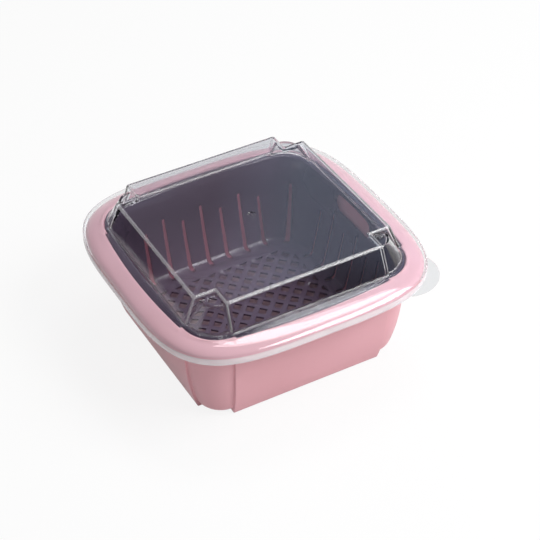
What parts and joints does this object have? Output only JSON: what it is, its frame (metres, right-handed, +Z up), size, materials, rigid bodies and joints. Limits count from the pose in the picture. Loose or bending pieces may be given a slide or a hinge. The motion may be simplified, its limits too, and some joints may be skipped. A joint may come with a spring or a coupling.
{
  "type": "double layer drain basket with lid",
  "caption": "Square kitchen drain set: an opaque basin with a wide rim, a slotted basket with a lattice floor hanging inside it, and a clear domed lid with a pull tab.",
  "frame": {"origin": "middle of the basin's flat underside, which stands on the worktop", "axes": "+Z up through the basin, basket and lid; +X through a wall with a hand hole; +Y through a plain wall; the pull tab is at the corner of +X and -Y"},
  "size_m": [0.2584, 0.2584, 0.1227],
  "materials": {
    "basin": "fine satin moulded plastic, opaque pink",
    "basket": "polished smoky grey translucent plastic",
    "lid": "polished clear plastic"
  },
  "bodies": {
    "basin": {"outer_basin": "basin"},
    "basket": {"drain_basket": "basket"},
    "lid": {"clear_lid": "lid"}
  },
  "joints": [
    {"name": "basket_lift", "type": "slide", "parent": "basin", "child": "basket", "axis": [0, 0, 1], "range_m": [0, 0.1]},
    {"name": "lid_lift", "type": "slide", "parent": "basket", "child": "lid", "axis": [0, 0, 1], "range_m": [0, 0.06]}
  ]
}
